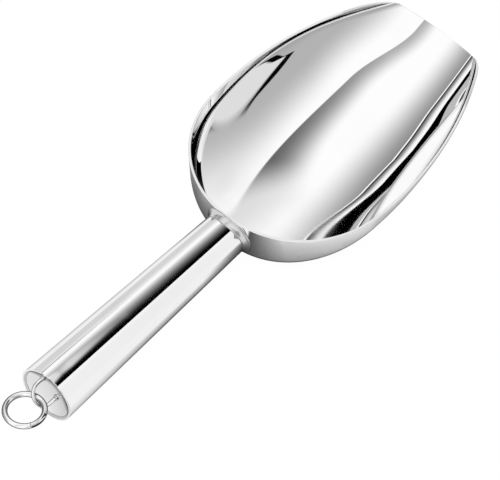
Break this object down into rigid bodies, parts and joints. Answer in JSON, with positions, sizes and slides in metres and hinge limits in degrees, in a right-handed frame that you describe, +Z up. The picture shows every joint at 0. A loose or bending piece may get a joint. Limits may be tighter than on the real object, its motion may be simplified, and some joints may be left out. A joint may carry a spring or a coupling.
{
  "type": "ice scoop",
  "caption": "Polished metal hand scoop for ice: deep rounded bowl open at the front, hollow tapered handle, dished end cap with a wire loop and a swinging hanging ring.",
  "frame": {"origin": "bottom centre of the bounding box at rest", "axes": "+X along the handle toward the bowl's lip, +Z up out of the bowl, +Y to the left"},
  "size_m": [0.2424, 0.0844, 0.024],
  "materials": {
    "polished_sheet": "mirror polished stainless steel",
    "polished_tube": "mirror polished stainless steel",
    "polished_cap": "polished stainless steel",
    "polished_wire": "polished stainless steel wire",
    "weld": "buffed weld bead"
  },
  "bodies": {
    "scoop": {"bowl": "polished_sheet", "handle_tube": "polished_tube", "neck_weld": "weld", "end_cap": "polished_cap", "end_cap_seam": "weld", "hanging_loop": "polished_wire", "loop_foot_welds": "weld"},
    "ring": {"hanging_ring": "polished_wire"}
  },
  "joints": [
    {"name": "ring_swing", "type": "hinge", "parent": "scoop", "child": "ring", "pos_m": [-0.10696, 0.0008, 0.01289], "axis": [0, 0.6018, 0.7986], "range_deg": [-60, 60]}
  ]
}
